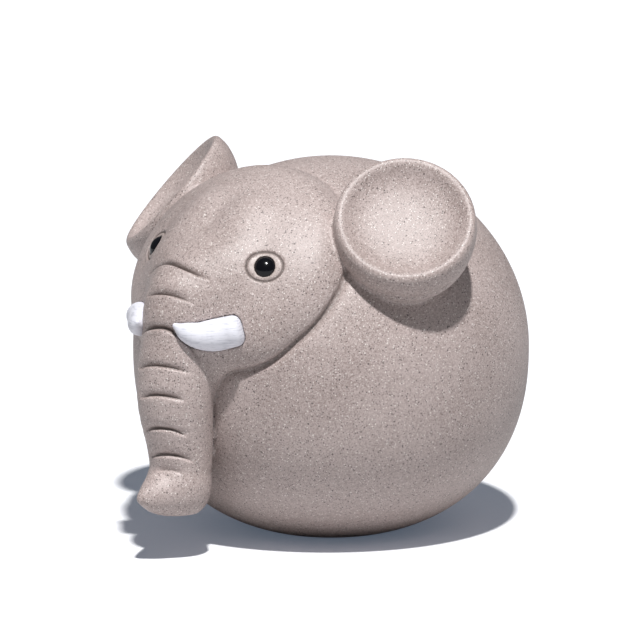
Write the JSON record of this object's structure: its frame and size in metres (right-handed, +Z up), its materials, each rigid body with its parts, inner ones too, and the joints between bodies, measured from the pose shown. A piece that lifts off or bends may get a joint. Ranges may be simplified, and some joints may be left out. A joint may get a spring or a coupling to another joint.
{
  "type": "elephant figurine",
  "caption": "Round clay elephant figurine with dished ears, a wrinkled trunk hanging clear of the tray, white tusks and black bead eyes, standing on a flat base.",
  "frame": {"origin": "centre of the round flat base, on the surface that the figure stands on", "axes": "-Y is the way the elephant faces, +X is the elephant's left, +Z is up"},
  "size_m": [0.0837, 0.088, 0.0742],
  "materials": {
    "clay": "unglazed fired clay, taupe, with fine dark and pale grains",
    "white_slip": "brushed white slip, satin",
    "black_bead": "polished black bead"
  },
  "bodies": {
    "root": {"clay_body": "clay", "tusk_left": "white_slip", "tusk_right": "white_slip", "eye_bead_left": "black_bead", "eye_bead_right": "black_bead"}
  },
  "joints": []
}
